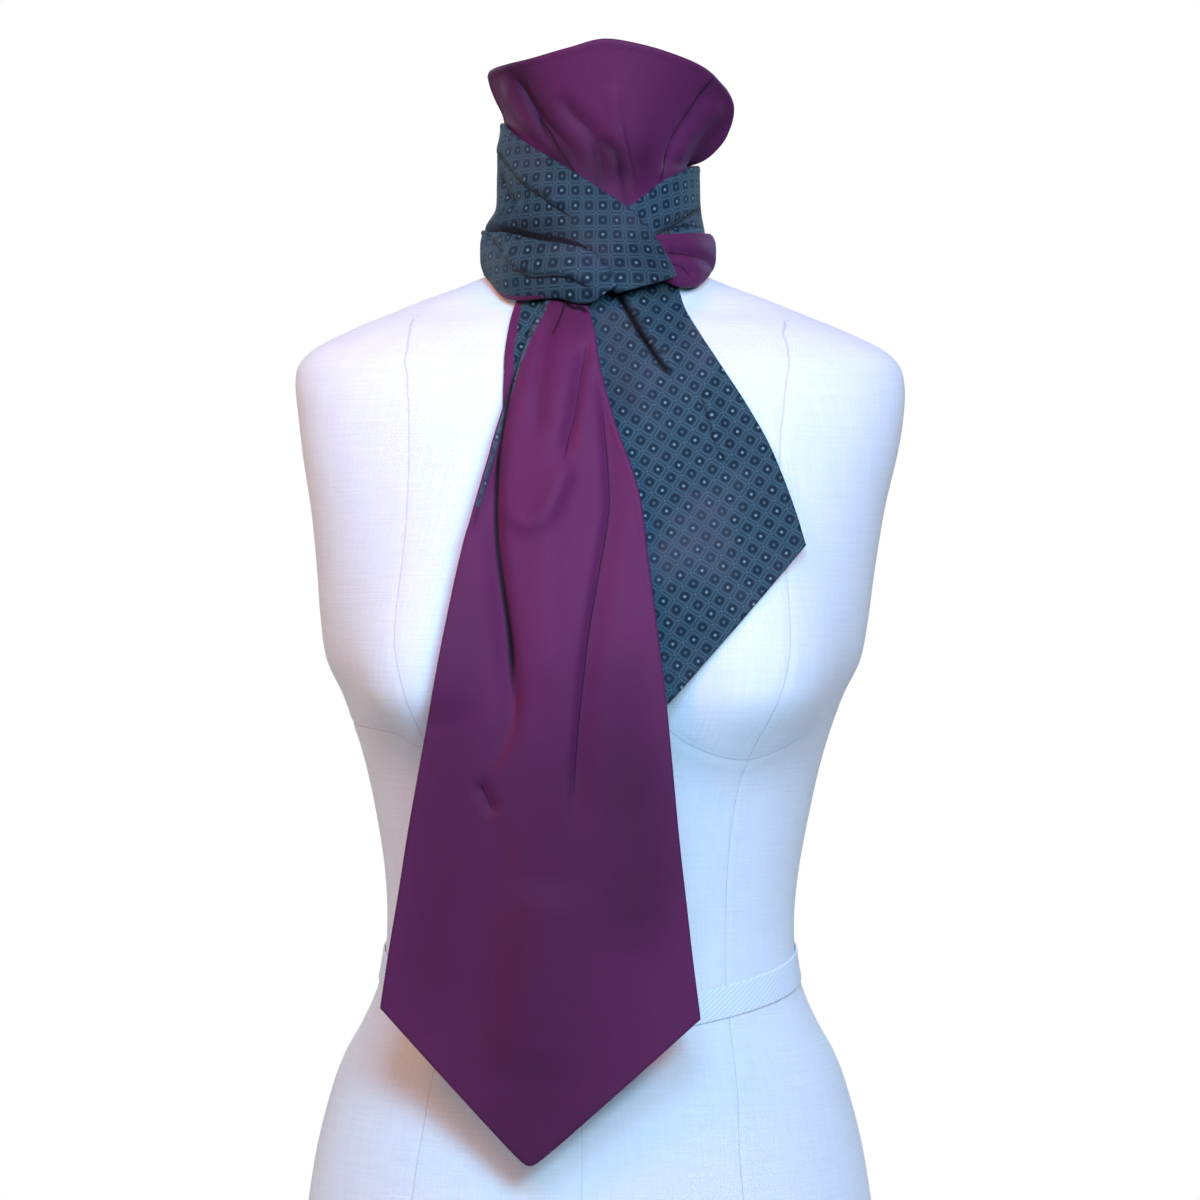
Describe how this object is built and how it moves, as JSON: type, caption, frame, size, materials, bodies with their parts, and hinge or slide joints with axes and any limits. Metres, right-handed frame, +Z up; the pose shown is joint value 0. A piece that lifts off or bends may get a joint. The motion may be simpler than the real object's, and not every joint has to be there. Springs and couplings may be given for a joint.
{
  "type": "cravat on a dress form",
  "caption": "Reversible cravat with pointed ends, wound and tied round the neck of a limbless linen dress form, one plain and one printed tail hanging in front.",
  "frame": {"origin": "under the form on the neck's axis, on the flat underside that it stands on", "axes": "+Z up, -Y the way the form faces, +X to the right of someone who looks at its front"},
  "size_m": [0.367, 0.2631, 0.8072],
  "materials": {
    "plum_cloth": "smooth shot weave with a soft violet sheen",
    "printed_cloth": "matt, small all-over medallion print",
    "linen_cover": "matt slubby linen",
    "cotton_tape": "matt twill tape"
  },
  "bodies": {
    "root": {"throat_panel": "plum_cloth", "upper_wrap_left": "printed_cloth", "upper_wrap_right": "printed_cloth", "lower_wrap_left": "printed_cloth", "lower_wrap_right": "plum_cloth", "long_tail": "plum_cloth", "short_tail": "printed_cloth", "dress_form": "linen_cover", "waist_tape": "cotton_tape"}
  },
  "joints": []
}
